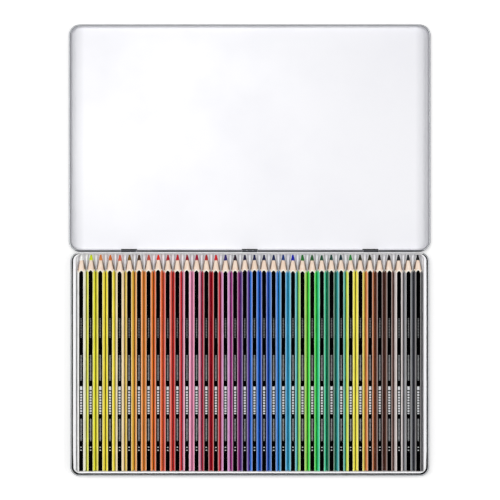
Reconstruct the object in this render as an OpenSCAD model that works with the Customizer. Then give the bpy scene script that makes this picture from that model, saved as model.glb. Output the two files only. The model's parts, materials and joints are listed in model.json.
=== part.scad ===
// Flat hinged tin that holds 36 coloured pencils in a formed plastic tray.
// Millimetres, +Z up. The tin lies open: the base is in front (-Y) and the lid is folded
// right back behind it (+Y), so both pans rest on Z = 0. The pencils point at the hinge.
// The origin is the centre of the base's underside.

/* [Pencils] */
// Length of a pencil, from the tip of its lead to its flat end
pencil_len = 176.5; // [120:0.5:200]
// Thickness of a pencil across its flats
pencil_flats = 6.9; // [6:0.1:8]
// Rounding of a pencil's six long edges
edge_r = 1.0; // [0.6:0.1:1.6]
// Clearance between two pencils that lie side by side
pencil_gap = 0.2; // [0.1:0.05:0.8]
// Diameter of the coloured lead
lead_d = 3.0; // [2:0.1:3.6]
// Diameter of the lead's blunt tip
tip_d = 0.9; // [0.2:0.1:1.2]
// Slope of the sharpened point, in degrees from the pencil's axis
point_slope = 12.8; // [11:0.1:20]

/* [Tray] */
// Thickness of the formed plastic sheet
tray_sheet = 0.35; // [0.25:0.05:0.6]
// Height of the ridges between the grooves
ridge_h = 2.2; // [1:0.1:2.4]
// Clearance between a ridge's slopes and the pencils' lower facets
ridge_gap = 0.15; // [0.1:0.05:0.3]
// Clearance at each end of the pencils
end_gap = 0.25; // [0.2:0.05:1]
// Clearance between the outermost pencils and the tray's side walls
side_gap = 0.5; // [0.2:0.1:2]
// Width of the tray's flat edge outside its front wall
front_edge = 1.0; // [0.2:0.05:6]
// Width of the tray's flat edge outside its wall at the hinge
back_edge = 0.1; // [0.05:0.05:6]
// Width of the tray's flat edge outside each side wall
side_edge = 1.85; // [0.6:0.05:8]
// Inside radius of the pocket's corners at the pencils' flat ends
pocket_r = 1.2; // [1:0.1:1.5]
// Inside radius of the pocket's corners at the pencils' points
point_corner_r = 4.5; // [3:0.5:4.5]
// Outside radius of the tray's corners
tray_corner_r = 6; // [5.5:0.5:7]
// How far the flat edge lies below the top of the base's rolled rim
edge_drop = 1.6; // [1:0.1:2.5]

/* [Base] */
// Thickness of the tinplate, for the base and for the lid
sheet = 0.27; // [0.2:0.01:0.35]
// Outside radius of the base's four corners
corner_r = 7.5; // [6:0.5:8]
// Outside radius of the bend between a pan's floor and its walls
bend_r = 1.5; // [1:0.1:2]
// Diameter of the rim that is rolled inwards round the base
rim_d = 1.3; // [1.1:0.1:1.8]
// Play between the tray and the rolled rim at the front
front_play = 0.85; // [0.2:0.05:2]
// Play between the tray and the rolled rim at the hinge
back_play = 0.1; // [0.1:0.05:2]
// Play between the tray and the rolled rim at each side
side_play = 0.8; // [0.2:0.1:2]

/* [Lid] */
// Clearance between the base's walls and the lid's skirt
lid_gap = 0.25; // [0.2:0.05:0.6]
// Clearance between the base's rolled rim and the closed lid
lid_top_gap = 0.23; // [0.1:0.01:0.6]
// Free height above the pencils when the lid is closed
head_room = 3.4; // [2.8:0.1:8]

/* [Hinge] */
// Diameter of the hinge pins
pin_d = 0.9; // [0.7:0.05:1.3]
// Clearance all round a hinge pin
pin_gap = 0.03; // [0.02:0.01:0.05]
// Length of a hinge pin
pin_len = 36; // [24:1:60]
// Width of the base's tongue that is curled round a pin
tongue_w = 12.4; // [8:0.2:18]
// Clearance between a tongue and the notch in the lid's rolled rim
notch_gap = 0.3; // [0.2:0.05:0.6]
// Distance from the middle hinge to each outer one
hinge_pitch = 99; // [60:1:120]

/* [Hidden] */
$fn = 96;
rest_gap = 0.05;      // under the tray and under each pencil
glue_gap = 0.02;      // glue line between a lead and its casing
slot_w = 0.25;        // open seam of a rolled rim
lance_gap = 0.2;      // cut that frees a tongue from the base's wall
cut = 1;              // how far a cutter reaches past what it cuts
strip_share = 0.5;    // of a pan's flat corner, taken by the strip next to the bend
sheet_share = 0.6;    // of a pan's flat corner, reached by the sheet in the middle

pencil_count = 36;
corner_reach = pencil_flats / sqrt(3) - edge_r * (1 / cos(30) - 1);
pencil_pitch = 2 * corner_reach + pencil_gap;
facet_w = (pencil_flats - 2 * edge_r) / sqrt(3);
row_w = (pencil_count - 1) * pencil_pitch + 2 * corner_reach;

// Plan sizes, from the pencils outwards
pocket_w = row_w + 2 * side_gap;
pocket_l = pencil_len + 2 * end_gap;
tray_w = pocket_w + 2 * (tray_sheet + side_edge);
tray_l = pocket_l + 2 * tray_sheet + front_edge + back_edge;
base_w = tray_w + 2 * side_play + 2 * rim_d;
base_l = tray_l + front_play + back_play + 2 * rim_d;
corner_x = base_w / 2 - corner_r;      // centres of the corners, which the two pans share
corner_y = base_l / 2 - corner_r;
lid_r = corner_r + lid_gap;
base_flat_r = corner_r - bend_r;        // corner of the flat floor, inside the bend
lid_flat_r = lid_r + sheet - bend_r;    // corner of the lid's flat top
tray_y = (front_play - back_play) / 2;
pocket_y = tray_y + (front_edge - back_edge) / 2;
tip_y = pocket_y + pencil_len / 2;

// Heights
tray_z = sheet + rest_gap;
bed_z = tray_z + tray_sheet;
pencil_z = bed_z + rest_gap + pencil_flats / 2;
lid_under = pencil_z + pencil_flats / 2 + head_room;
closed_h = lid_under + sheet;
rim_top = lid_under - lid_top_gap;
edge_z = rim_top - edge_drop;
rim_z = rim_top - rim_d / 2;

// Hinge: the lid lies flat when its axis is at half the closed height
bore_r = pin_d / 2 + pin_gap;
knuckle_r = bore_r + sheet;
hinge_z = closed_h / 2;
hinge_y = base_l / 2 + lid_gap + knuckle_r;
hinge_x = [-hinge_pitch, 0, hinge_pitch];
notch_w = tongue_w + 2 * notch_gap;

PENCIL_NAMES = [for (i = [1:pencil_count]) str("pencil_", i < 10 ? "0" : "", i)];
PIN_NAMES = ["hinge_pin_left", "hinge_pin_centre", "hinge_pin_right"];

// Lacquer colours of the pencils, from left to right
pencil_colours = [
    "#f4f4f0", "#dfe24a", "#f3e85c", "#f5d63a", "#f3dcc0", "#dcae3c",
    "#f0a24e", "#ee8433", "#e8622c", "#e2583e", "#d3303a", "#eda0b4",
    "#dc5a8c", "#b3203f", "#d4222e", "#c987c4", "#a8327f", "#6c4a9c",
    "#3f77c4", "#26468c", "#5b93d6", "#2f8fd0", "#48a9dc", "#b9d95a",
    "#3fae49", "#2fa37a", "#1d6b3c", "#1f8f95", "#e9dc3c", "#e6cf4a",
    "#b8622c", "#5d3223", "#6e4836", "#b9b2a4", "#80868a", "#3c3f42"
];
tin_outside = "#34373c";
tray_white = "#f2f2f0";
pin_steel = "#b8babd";

// ---- Plan shapes and sweeps ----

// Rounded rectangle, given by the centre of one corner's rounding and the radius
module rounded_rect(x, y, r) {
    for (sx = [0, 1], sy = [0, 1])
        mirror([sx, 0]) mirror([0, sy]) {
            square([x, y]);
            translate([x, 0]) square([r, y]);
            translate([0, y]) square([x, r]);
            translate([x, y]) circle(r = r);
        }
}

// Runs a section round such a rectangle. In the section X = 0 is the outline,
// +X points away from the middle and Y is the height.
module sweep_round(x, y, r) {
    for (sx = [0, 1], sy = [0, 1])
        mirror([sx, 0, 0]) mirror([0, sy, 0])
            translate([x, y, 0]) {
                rotate([90, 0, 0]) linear_extrude(y) translate([r, 0]) children();
                translate([-x, 0, 0])
                    rotate([90, 0, 90]) linear_extrude(x) translate([r, 0]) children();
                rotate_extrude(angle = 90) translate([r, 0]) children();
            }
}

// Flat sheet that fills a pan's middle and laps over the strip next to the bend
module flat_sheet(flat_r) {
    half_w = corner_x + sheet_share * flat_r;
    half_l = corner_y + sheet_share * flat_r;
    translate([-half_w, -half_l, 0]) cube([2 * half_w, 2 * half_l, sheet]);
}

module ring(outer_r, inner_r) {
    difference() {
        circle(r = outer_r);
        circle(r = inner_r);
    }
}

// ---- Base ----

// Floor strip, bend, wall and rolled rim. X = 0 is the wall's outer face.
module base_section() {
    strip_w = strip_share * base_flat_r;
    translate([-bend_r - strip_w, 0]) square([strip_w, sheet]);
    intersection() {
        translate([-bend_r, bend_r]) ring(bend_r, bend_r - sheet);
        translate([-bend_r, 0]) square(bend_r);
    }
    translate([-sheet, bend_r]) square([sheet, rim_z - bend_r]);
    difference() {
        translate([-rim_d / 2, rim_z]) ring(rim_d / 2, rim_d / 2 - sheet);
        translate([-sheet - slot_w, rim_z - rim_d]) square([slot_w, rim_d]);
    }
}

// Tongue that leaves the back wall under the pin and is curled round it
module hinge_tongue() {
    translate([-tongue_w / 2, 0, hinge_z])
        rotate([90, 0, 90]) linear_extrude(tongue_w) {
            translate([hinge_y, 0]) ring(knuckle_r, bore_r);
            translate([(base_l - sheet) / 2, -knuckle_r])
                square([hinge_y - (base_l - sheet) / 2, sheet]);
        }
}

// Opening left in the back wall where a tongue was cut free
module lance_window() {
    window_w = tongue_w + 2 * lance_gap;
    window_z = hinge_z - bore_r - sheet / 2;
    window_h = rim_top - rim_d - sheet - window_z;
    translate([-window_w / 2, base_l / 2 - sheet - cut / 2, window_z])
        cube([window_w, sheet + cut, window_h]);
}

module base_tin() {
    color(tin_outside) {
        difference() {
            union() {
                flat_sheet(base_flat_r);
                sweep_round(corner_x, corner_y, corner_r) base_section();
            }
            for (x = hinge_x) translate([x, 0, 0]) lance_window();
        }
        for (x = hinge_x) translate([x, 0, 0]) hinge_tongue();
    }
}

// ---- Lid ----

// Top strip, bend, skirt and rolled rim of the closed lid. X = 0 is the skirt's inner face.
module lid_section() {
    strip_w = strip_share * lid_flat_r;
    translate([sheet - bend_r - strip_w, closed_h - sheet]) square([strip_w, sheet]);
    intersection() {
        translate([sheet - bend_r, closed_h - bend_r]) ring(bend_r, bend_r - sheet);
        translate([sheet - bend_r, closed_h - bend_r]) square(bend_r);
    }
    translate([0, hinge_z]) square([sheet, closed_h - bend_r - hinge_z]);
    translate([knuckle_r, hinge_z]) ring(knuckle_r, bore_r);
}

module lid_closed() {
    notch_h = knuckle_r + notch_gap;
    difference() {
        union() {
            sweep_round(corner_x, corner_y, lid_r) lid_section();
            translate([0, 0, closed_h - sheet]) flat_sheet(lid_flat_r);
        }
        for (x = hinge_x)
            translate([x - notch_w / 2, hinge_y - knuckle_r - cut, hinge_z - knuckle_r - cut])
                cube([notch_w, 2 * (knuckle_r + cut), knuckle_r + cut + notch_h]);
    }
}

// The closed lid, turned half a turn about the hinge axis
module lid_tin() {
    color(tin_outside)
        translate([0, 2 * hinge_y, 2 * hinge_z]) rotate([180, 0, 0]) lid_closed();
}

module hinge_pin(x) {
    color(pin_steel)
        translate([x - pin_len / 2, hinge_y, hinge_z])
            rotate([0, 90, 0]) cylinder(r = pin_d / 2, h = pin_len);
}

// ---- Tray ----

function pencil_x(i) = (i - (pencil_count - 1) / 2) * pencil_pitch;

// Bed with one flat-bottomed groove for each pencil. The slopes run parallel to the
// pencils' lower facets, and the sheet has the same thickness all over.
module bed_section() {
    groove_half = pencil_flats / sqrt(3) / 2 + (ridge_gap - rest_gap / 2) / sin(60);
    slope_w = ridge_h / tan(60);
    under = tray_sheet * tan(30);
    edge_x = pocket_w / 2 + tray_sheet;
    upper = [for (i = [0:pencil_count - 1]) each [
        [pencil_x(i) - groove_half - slope_w, ridge_h],
        [pencil_x(i) - groove_half, 0],
        [pencil_x(i) + groove_half, 0],
        [pencil_x(i) + groove_half + slope_w, ridge_h]
    ]];
    lower = [for (i = [pencil_count - 1:-1:0]) each [
        [pencil_x(i) + groove_half + slope_w + under, ridge_h - tray_sheet],
        [pencil_x(i) + groove_half + under, -tray_sheet],
        [pencil_x(i) - groove_half - under, -tray_sheet],
        [pencil_x(i) - groove_half - slope_w - under, ridge_h - tray_sheet]
    ]];
    polygon(concat(
        [[-edge_x, ridge_h]], upper, [[edge_x, ridge_h]],
        [[edge_x, ridge_h - tray_sheet]], lower, [[-edge_x, ridge_h - tray_sheet]]
    ));
}

// Plan of the pencil pocket, with its own corner radius at each end
module pocket_outline(grow) {
    half_w = pocket_w / 2 + grow;
    half_l = pocket_l / 2 + grow;
    front_r = pocket_r + grow;
    back_r = point_corner_r + grow;
    translate([-half_w, -half_l + front_r]) square([2 * half_w, 2 * half_l - front_r - back_r]);
    translate([-half_w + front_r, -half_l]) square([2 * (half_w - front_r), half_l]);
    translate([-half_w + back_r, 0]) square([2 * (half_w - back_r), half_l]);
    for (side = [-1, 1]) {
        translate([side * (half_w - front_r), -half_l + front_r]) circle(r = front_r);
        translate([side * (half_w - back_r), half_l - back_r]) circle(r = back_r);
    }
}

module pencil_tray() {
    outer_l = pocket_l + 2 * tray_sheet;
    color(tray_white) {
        translate([0, pocket_y, 0])
            intersection() {
                translate([0, outer_l / 2, bed_z])
                    rotate([90, 0, 0]) linear_extrude(outer_l) bed_section();
                translate([0, 0, tray_z]) linear_extrude(edge_z) pocket_outline(tray_sheet);
            }
        translate([0, pocket_y, tray_z])
            linear_extrude(edge_z - tray_z)
                difference() {
                    pocket_outline(tray_sheet);
                    pocket_outline(0);
                }
        translate([0, 0, edge_z - tray_sheet])
            linear_extrude(tray_sheet)
                difference() {
                    translate([0, tray_y])
                        rounded_rect(tray_w / 2 - tray_corner_r, tray_l / 2 - tray_corner_r, tray_corner_r);
                    translate([0, pocket_y]) pocket_outline(0);
                }
    }
}

// ---- Pencils ----

// Hexagon with rounded corners and a flat at the top
module casing_section() {
    centre_r = corner_reach - edge_r;
    for (turn = [0, 60, 120])
        rotate(turn) square([facet_w, pencil_flats], center = true);
    for (turn = [0:60:300])
        rotate(turn) translate([centre_r, 0]) circle(r = edge_r);
}

// Half outline of what the sharpener leaves, with the tip at the bottom
module sharpened_outline(r) {
    tip_r = tip_d / 2;
    polygon([
        [0, 0], [tip_r, 0], [r, (r - tip_r) / tan(point_slope)],
        [r, pencil_len], [0, pencil_len]
    ]);
}

// One pencil: wooden casing and lead, two solids that are glued together
module pencil(i) {
    translate([pencil_x(i), tip_y, pencil_z])
        rotate([90, 0, 0]) {
            color(pencil_colours[i])
                difference() {
                    intersection() {
                        linear_extrude(pencil_len) casing_section();
                        rotate_extrude() sharpened_outline(pencil_flats);
                    }
                    translate([0, 0, -cut])
                        cylinder(r = lead_d / 2 + glue_gap, h = pencil_len + 2 * cut);
                }
            color(pencil_colours[i])
                rotate_extrude() sharpened_outline(lead_d / 2);
        }
}

base_tin();
lid_tin();
pencil_tray();
for (k = [0:2])
    hinge_pin(hinge_x[k]);
for (i = [0:pencil_count - 1])
    pencil(i);
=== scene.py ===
import json
import math
import random

import bmesh
import bpy
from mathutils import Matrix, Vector


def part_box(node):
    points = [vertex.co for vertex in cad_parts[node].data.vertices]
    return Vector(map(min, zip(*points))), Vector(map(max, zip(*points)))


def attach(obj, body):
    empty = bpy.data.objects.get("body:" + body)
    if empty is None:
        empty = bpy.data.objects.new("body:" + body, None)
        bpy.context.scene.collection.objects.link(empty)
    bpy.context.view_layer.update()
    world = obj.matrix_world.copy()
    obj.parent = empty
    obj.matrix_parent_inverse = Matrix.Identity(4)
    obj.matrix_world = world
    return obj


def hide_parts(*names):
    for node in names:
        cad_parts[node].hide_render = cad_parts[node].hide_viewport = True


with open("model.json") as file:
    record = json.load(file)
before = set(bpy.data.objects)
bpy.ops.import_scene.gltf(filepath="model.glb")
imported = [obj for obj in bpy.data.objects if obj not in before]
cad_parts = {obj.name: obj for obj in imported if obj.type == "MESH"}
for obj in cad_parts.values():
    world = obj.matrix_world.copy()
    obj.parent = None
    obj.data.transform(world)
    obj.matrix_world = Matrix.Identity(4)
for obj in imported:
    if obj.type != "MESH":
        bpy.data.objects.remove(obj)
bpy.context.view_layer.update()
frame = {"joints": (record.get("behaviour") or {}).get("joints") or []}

# Flat hinged tin of coloured pencils. Sizes are in millimetres and become metres when a mesh
# is made; finishes and softboxes are in metres.
MM = 0.001
SEED = 36

# ---- Sizes, taken from the frame where it gives them ----


def box_mm(node):
    """The low and the high corner of a node's box."""
    low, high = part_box(node)
    return low / MM, high / MM


base_low, base_high = box_mm("base_tin")
lid_low, lid_high = box_mm("lid_tin")
tray_low, tray_high = box_mm("pencil_tray")
hinge_place = next(j for j in frame["joints"] if j["name"] == "lid_hinge")["pos_m"]
hinge_y = hinge_place[1] / MM
hinge_z = hinge_place[2] / MM
pin_boxes = {side: box_mm(f"hinge_pin_{side}") for side in ("left", "centre", "right")}
hinge_x = [(low.x + high.x) / 2 for low, high in pin_boxes.values()]

PENCIL_COUNT = 36
MIDDLE_PENCIL = (PENCIL_COUNT - 1) / 2
pencil_nodes = [f"pencil_{i:02d}" for i in range(1, PENCIL_COUNT + 1)]
pencil_boxes = [box_mm(node) for node in pencil_nodes]
pencil_flats = pencil_boxes[0][1].z - pencil_boxes[0][0].z
pencil_len = pencil_boxes[0][1].y - pencil_boxes[0][0].y
pencil_pitch = pencil_boxes[1][0].x - pencil_boxes[0][0].x

# Tinplate
sheet = 0.27
bend_r = 1.5
base_w = 2 * base_high.x
base_l = -2 * base_low.y
base_corner_r = 7.5
rim_r = 0.65
rim_top = base_high.z
rim_z = rim_top - rim_r
knuckle_r = lid_high.z - hinge_z
bore_r = knuckle_r - sheet
lid_w = 2 * (lid_high.x - 2 * knuckle_r)
lid_l = lid_high.y - lid_low.y - 4 * knuckle_r
lid_y = (lid_high.y + lid_low.y) / 2
lid_corner_r = base_corner_r + (lid_w - base_w) / 2
tongue_w = 12.4
notch_w = 13.0
window_w = 12.8
lacquer_margin = 0.7    # bare strip of the outside, next to a rolled rim
notch_shade_w = 0.85            # painted shade: dark strip of the lid, next to each notch
wall_shade_w = 10.5           # strip along the lid's sides where the white is darkened as painted shade

# Pencils
edge_r = 1.0            # rounding of the hexagon's edges
lead_r = 1.6
tip_r = 0.6             # blunt end of the lead
point_slope = math.radians(12.4)
corner_reach = pencil_flats / math.sqrt(3) - edge_r * (1 / math.cos(math.radians(30)) - 1)
facet_w = (pencil_flats - 2 * edge_r) / math.sqrt(3)
coat_swell = 1.016      # the coats pool a little at the side corners
pencils_aside = -0.09   # the pencils lie against the left of their grooves

# How far the pencils differ from each other
slope_change = 0.35     # of the cut, in degrees
lean_range = (0.02, 0.12)
roll_change = 1.6       # degrees
slide_change = 0.12

# Tray
tray_sheet = 0.35
tray_fillet = 0.3
ridge_h = 2.2
groove_gap = 0.144      # beside a pencil's lower facet, on the flat of its groove
groove_half = pencil_flats / math.sqrt(3) / 2 + groove_gap
slope_w = ridge_h / math.tan(math.radians(60))
flat_end_r = 1.2        # pocket's corners at the flat ends of the pencils
point_end_r = 4.5       # and at their points
side_edge = 2.2
front_edge = 1.35
back_edge = 0.45
tray_corner_r = 6.0
tray_w = tray_high.x - tray_low.x
pocket_w = tray_w - 2 * side_edge
pocket_l = tray_high.y - tray_low.y - front_edge - back_edge
tray_y = (tray_high.y + tray_low.y) / 2
pocket_y = tray_y + (front_edge - back_edge) / 2
edge_z = tray_high.z
bed_z = tray_low.z + tray_sheet

# ---- Making meshes ----

# A surface stays smooth over bends of up to this many degrees
SHARP_SHEET = 32
SHARP_CASING = 25
SHARP_ROUND = 40


def make_piece(name, points, faces, finishes, zones=None, sharp_above=SHARP_SHEET):
    """A closed mesh piece. zones gives each face's finish, as an index into finishes."""
    mesh = bpy.data.meshes.new(name)
    mesh.from_pydata([[c * MM for c in p] for p in points], [], faces)
    for finish in finishes:
        mesh.materials.append(finish)
    if zones:
        mesh.polygons.foreach_set("material_index", zones)
    body = bmesh.new()
    body.from_mesh(mesh)
    bmesh.ops.recalc_face_normals(body, faces=body.faces)
    body.to_mesh(mesh)
    body.free()
    piece = bpy.data.objects.new(name, mesh)
    bpy.context.scene.collection.objects.link(piece)
    smooth(piece, sharp_above)
    return piece


def smooth(piece, sharp_above):
    """Smooth shading, with an edge kept sharp where it bends by more than this many degrees."""
    piece.data.shade_smooth()
    piece.data.set_sharp_from_angle(angle=math.radians(sharp_above))


def arc(centre_x, centre_y, radius, start, end, steps):
    """Points on an arc, both ends included; the angles are in degrees."""
    points = []
    for step in range(steps + 1):
        angle = math.radians(start + (end - start) * step / steps)
        points.append((centre_x + radius * math.cos(angle), centre_y + radius * math.sin(angle)))
    return points


def circle(centre_x, centre_y, radius, sides):
    """Points all round a circle."""
    return arc(centre_x, centre_y, radius, 0, 360, sides)[:-1]


def heading(degrees):
    """The direction at this angle, in the plane of an outline or a section."""
    return Vector((math.cos(math.radians(degrees)), math.sin(math.radians(degrees))))


def outline_stations(width, length, radius):
    """Places and outward directions round a rounded rectangle, anticlockwise."""
    side_steps = 20
    end_steps = 32
    corner_steps = 14
    stations = []
    for corner in range(4):
        start = 90 * corner
        across = heading(start)
        along = Vector((-across.y, across.x))
        half_across, half_along = (width, length) if corner % 2 == 0 else (length, width)
        straight = half_along / 2 - radius
        steps = side_steps if corner % 2 == 0 else end_steps
        for step in range(1, steps):
            place = across * half_across / 2 + along * straight * (2 * step / steps - 1)
            stations.append((place, across))
        centre = across * (half_across / 2 - radius) + along * straight
        for step in range(corner_steps + 1):
            out = heading(start + 90 * step / corner_steps)
            stations.append((centre + out * radius, out))
    return stations


def joined(first, second):
    """Faces between two closed rows, given as their points' numbers."""
    count = len(first)
    return [
        (first[i], first[(i + 1) % count], second[(i + 1) % count], second[i])
        for i in range(count)
    ]


def ring_faces(first, second, count):
    """Faces between two closed rows of points that start at these numbers."""
    return joined(range(first, first + count), range(second, second + count))


def closed_bar(row_count, sides):
    """Faces of a bar made of closed rows of points, with both ends filled."""
    faces = []
    for row in range(row_count - 1):
        faces += ring_faces(row * sides, (row + 1) * sides, sides)
    last = (row_count - 1) * sides
    return faces + [tuple(range(sides)), tuple(range(last, last + sides))]


def pan(stations, section, centre_y):
    """A drawn pan: the section's (offset, height, zone) run round the outline, both floors filled.
    The section goes from the floor's underside, round the rim, to the floor's upper side."""
    floor_rings = (0.985, 0.93, 0.7, 0.35)
    points = []
    faces = []
    zones = []
    count = len(stations)
    for offset, height, _ in section:
        for place, out in stations:
            spot = place + out * offset
            points.append((spot.x, spot.y + centre_y, height))
    for row in range(len(section) - 1):
        faces += ring_faces(row * count, (row + 1) * count, count)
        zones += [section[row][2]] * count
    for row in (0, len(section) - 1):
        edge = row * count
        for share in floor_rings:
            inner = len(points)
            for place, out in stations:
                spot = (place + out * section[row][0]) * share
                points.append((spot.x, spot.y + centre_y, section[row][1]))
            faces += ring_faces(edge, inner, count)
            zones += [section[row][2]] * count
            edge = inner
        faces.append(tuple(range(edge, edge + count)))
        zones.append(section[row][2])
    return points, faces, zones


def add_mesh(kept, more):
    """Adds one mesh's points, faces and zones to another's."""
    points, faces, zones = kept
    start = len(points)
    points += more[0]
    faces += [tuple(start + i for i in face) for face in more[1]]
    zones += more[2]


def cut_box(piece, low, high, zone):
    """Cuts a box out of the piece; the cut faces get the zone's finish."""
    corners = [(x, y, z) for x in (low[0], high[0]) for y in (low[1], high[1]) for z in (low[2], high[2])]
    sides = [(0, 1, 3, 2), (4, 6, 7, 5), (0, 4, 5, 1), (2, 3, 7, 6), (0, 2, 6, 4), (1, 5, 7, 3)]
    cutter = make_piece("cutter", corners, sides, list(piece.data.materials), [zone] * 6)
    cutting = piece.modifiers.new("cut", "BOOLEAN")
    cutting.operation = "DIFFERENCE"
    cutting.solver = "EXACT"
    cutting.object = cutter
    bpy.context.view_layer.objects.active = piece
    bpy.ops.object.modifier_apply(modifier=cutting.name)
    spare = cutter.data
    bpy.data.objects.remove(cutter)
    bpy.data.meshes.remove(spare)


# ---- Node tools for the finishes ----


def add_node(tree, kind, inputs=None, **settings):
    """A node with its settings; each input is a value, or a socket that is linked to it."""
    node = tree.nodes.new("ShaderNode" + kind)
    for key, value in settings.items():
        setattr(node, key, value)
    for key, value in (inputs or {}).items():
        if isinstance(value, bpy.types.NodeSocket):
            tree.links.new(value, node.inputs[key])
        else:
            node.inputs[key].default_value = value
    return node


def new_finish(name):
    """An empty material and its node tree."""
    finish = bpy.data.materials.new(name)
    finish.use_nodes = True
    finish.node_tree.nodes.clear()
    return finish, finish.node_tree


def end_finish(finish, shader_inputs):
    """Gives the material its shader, with these inputs, and returns the material."""
    shader = add_node(finish.node_tree, "BsdfPrincipled", shader_inputs)
    add_node(finish.node_tree, "OutputMaterial", {"Surface": shader.outputs[0]})
    return finish


def object_place(tree):
    """The place on the piece, in its own metres."""
    return add_node(tree, "TexCoord").outputs["Object"]


def math_node(tree, operation, first, second=0.0, third=0.0):
    """The result of one operation on up to three values or sockets."""
    return add_node(tree, "Math", {0: first, 1: second, 2: third}, operation=operation).outputs[0]


def noise(tree, place, scale, detail=3.0, roughness=0.55):
    """Cloudy noise from 0 to 1; scale is in clouds per metre."""
    inputs = {"Vector": place, "Scale": scale, "Detail": detail, "Roughness": roughness}
    return add_node(tree, "TexNoise", inputs).outputs["Fac"]


def scaled_place(tree, place, scale):
    """The place, stretched along each axis, for marks that run one way."""
    return add_node(tree, "Mapping", {"Vector": place, "Scale": scale}).outputs[0]


def spread(tree, value, low, high, to_low=0.0, to_high=1.0):
    """The value's stretch from low to high, spread from to_low to to_high and held past its ends."""
    inputs = {"Value": value, "From Min": low, "From Max": high, "To Min": to_low, "To Max": to_high}
    return add_node(tree, "MapRange", inputs).outputs[0]


def mix_colours(tree, share, *colours):
    """The first colour with this share of the second; each may be a socket or six hex digits."""
    first, second = (hex_colour(c) if isinstance(c, str) else c for c in colours)
    return add_node(tree, "Mix", {0: share, 6: first, 7: second}, data_type="RGBA").outputs[2]


def touched(tree, mask, share, under, over):
    """The colour under, with this share of the colour over it where the mask is 1."""
    return mix_colours(tree, math_node(tree, "MULTIPLY", mask, share), under, over)


def bump(tree, height, distance):
    """A normal from a height; distance is how many millimetres a height of 1 is."""
    return add_node(tree, "Bump", {"Height": height, "Distance": distance * MM}).outputs[0]


def hex_colour(code):
    """A colour written as six hex digits, as the linear value that a shader takes."""
    parts = [int(code[i:i + 2], 16) / 255 for i in (0, 2, 4)]
    linear = [c / 12.92 if c <= 0.04045 else ((c + 0.055) / 1.055) ** 2.4 for c in parts]
    return (*linear, 1.0)


def shade_of(colour, factor):
    """A lighter or darker shade of a colour."""
    return (*(min(1.0, c * factor) for c in colour[:3]), 1.0)


def new_effect(name, inputs, outputs):
    """An empty node group with named sockets; returns its tree and its input node."""
    tree = bpy.data.node_groups.new(name, "ShaderNodeTree")
    for socket_name, kind, value in inputs:
        socket = tree.interface.new_socket(socket_name, in_out="INPUT", socket_type="NodeSocket" + kind)
        if value is not None:
            socket.default_value = value
    for socket_name, kind in outputs:
        tree.interface.new_socket(socket_name, in_out="OUTPUT", socket_type="NodeSocket" + kind)
    return tree, tree.nodes.new("NodeGroupInput")


def end_effect(tree, results):
    """The group's output node, fed by name."""
    end = tree.nodes.new("NodeGroupOutput")
    for key, socket in results.items():
        tree.links.new(socket, end.inputs[key])


def use_effect(tree, group, inputs):
    """Places an effect in a finish and returns its outputs."""
    return add_node(tree, "Group", inputs, node_tree=group).outputs


# ---- Effects that several finishes share ----


def make_lacquer_skin():
    """Brushed-on or sprayed lacquer: slow ripple, fine orange peel and hair scratches."""
    inputs = [("Place", "Vector", None), ("Ripple", "Float", 60.0), ("Peel", "Float", 900.0)]
    tree, start = new_effect("lacquer_skin", inputs, [("Height", "Float"), ("Scratch", "Float")])
    place = start.outputs["Place"]
    ripple = noise(tree, place, start.outputs["Ripple"], 2.0)
    peel = noise(tree, place, start.outputs["Peel"], 1.0)
    streaks = scaled_place(tree, place, (40.0, 1100.0, 300.0))
    hair = noise(tree, streaks, 1.0, 4.0, 0.7)
    scratch = spread(tree, hair, 0.68, 0.74)
    slow = math_node(tree, "MULTIPLY", ripple, 0.7)
    fine = math_node(tree, "MULTIPLY_ADD", peel, 0.3, slow)
    height = math_node(tree, "MULTIPLY_ADD", scratch, -0.25, fine)
    end_effect(tree, {"Height": height, "Scratch": scratch})
    return tree


def make_handling_marks():
    """Soft smudges and small specks, as dust and fingers leave them."""
    inputs = [("Place", "Vector", None), ("Size", "Float", 40.0)]
    tree, start = new_effect("handling_marks", inputs, [("Smudge", "Float"), ("Speck", "Float")])
    place = start.outputs["Place"]
    cloud = noise(tree, place, start.outputs["Size"], 4.0, 0.6)
    smudge = spread(tree, cloud, 0.42, 0.68)
    dots = add_node(tree, "TexVoronoi", {"Vector": place, "Scale": 420.0}).outputs["Distance"]
    spots = spread(tree, dots, 0.05, 0.02)
    rare = spread(tree, noise(tree, place, 75.0, 2.0), 0.56, 0.6)
    speck = math_node(tree, "MULTIPLY", spots, rare)
    end_effect(tree, {"Smudge": smudge, "Speck": speck})
    return tree


def make_dash_row():
    """A row of short stamped dashes: Along and Across are millimetres on the pencil."""
    inputs = [
        ("Along", "Float", 0.0), ("Across", "Float", 0.0), ("Start", "Float", 0.0),
        ("End", "Float", 1.0), ("Pitch", "Float", 1.0), ("Fill", "Float", 0.6),
        ("Half Width", "Float", 0.5),
    ]
    tree, start = new_effect("dash_row", inputs, [("Mask", "Float")])
    along = start.outputs["Along"]
    after = math_node(tree, "GREATER_THAN", along, start.outputs["Start"])
    before = math_node(tree, "LESS_THAN", along, start.outputs["End"])
    from_start = math_node(tree, "SUBTRACT", along, start.outputs["Start"])
    turns = math_node(tree, "DIVIDE", from_start, start.outputs["Pitch"])
    filled = math_node(tree, "LESS_THAN", math_node(tree, "FRACT", turns), start.outputs["Fill"])
    aside = math_node(tree, "ABSOLUTE", start.outputs["Across"])
    within = math_node(tree, "LESS_THAN", aside, start.outputs["Half Width"])
    span = math_node(tree, "MULTIPLY", after, before)
    dash = math_node(tree, "MULTIPLY", filled, within)
    end_effect(tree, {"Mask": math_node(tree, "MULTIPLY", span, dash)})
    return tree


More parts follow.
